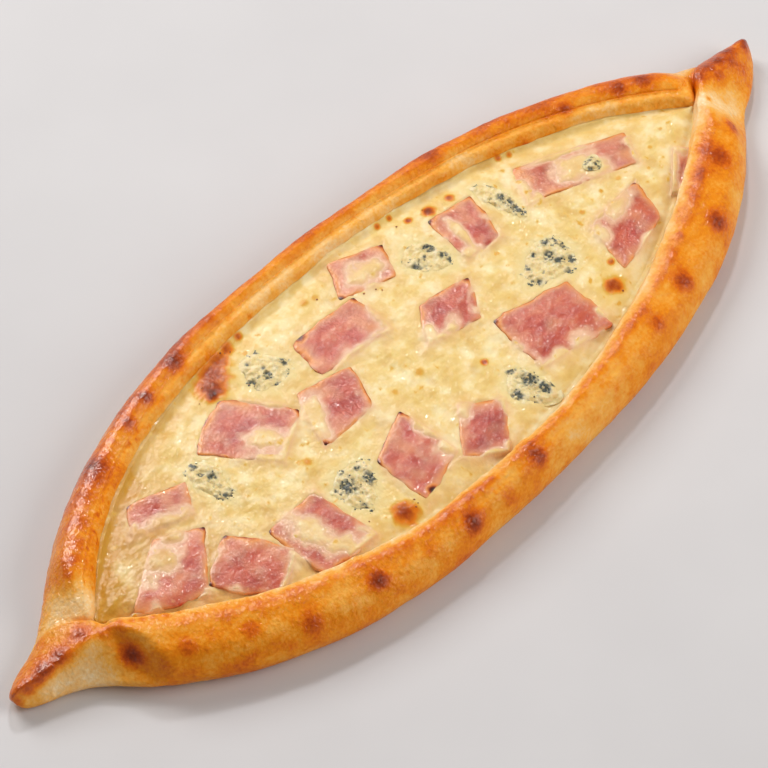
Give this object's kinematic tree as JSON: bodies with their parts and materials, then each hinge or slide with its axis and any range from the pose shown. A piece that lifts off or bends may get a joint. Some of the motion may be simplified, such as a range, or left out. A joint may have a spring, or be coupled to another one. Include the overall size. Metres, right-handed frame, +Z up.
{
  "type": "pide",
  "caption": "Boat-shaped flatbread with folded-in edges and pinched ends, filled with melted cheese and topped with pieces of ham and patches of blue cheese.",
  "frame": {"origin": "middle of the box around the whole, on the surface that it rests on", "axes": "+X along the boat, towards the picture's far end; +Y across it, away from the picture's viewer; +Z up"},
  "size_m": [0.4, 0.138, 0.0216],
  "materials": {
    "crust": "golden baked crust, satin with glossy brown blisters",
    "melted_cheese": "melted cheese, moist sheen with browned spots",
    "ham": "moist cooked ham with browned edges",
    "blue_cheese": "softened blue cheese with dark mould"
  },
  "bodies": {
    "root": {"dough": "crust", "cheese": "melted_cheese", "ham_01": "ham", "ham_02": "ham", "ham_03": "ham", "ham_04": "ham", "ham_05": "ham", "ham_06": "ham", "ham_07": "ham", "ham_08": "ham", "ham_09": "ham", "ham_10": "ham", "ham_11": "ham", "ham_12": "ham", "ham_13": "ham", "ham_14": "ham", "ham_15": "ham", "ham_16": "ham", "blue_cheese_1": "blue_cheese", "blue_cheese_2": "blue_cheese", "blue_cheese_3": "blue_cheese", "blue_cheese_4": "blue_cheese", "blue_cheese_5": "blue_cheese", "blue_cheese_6": "blue_cheese", "blue_cheese_7": "blue_cheese", "blue_cheese_8": "blue_cheese"}
  },
  "joints": []
}
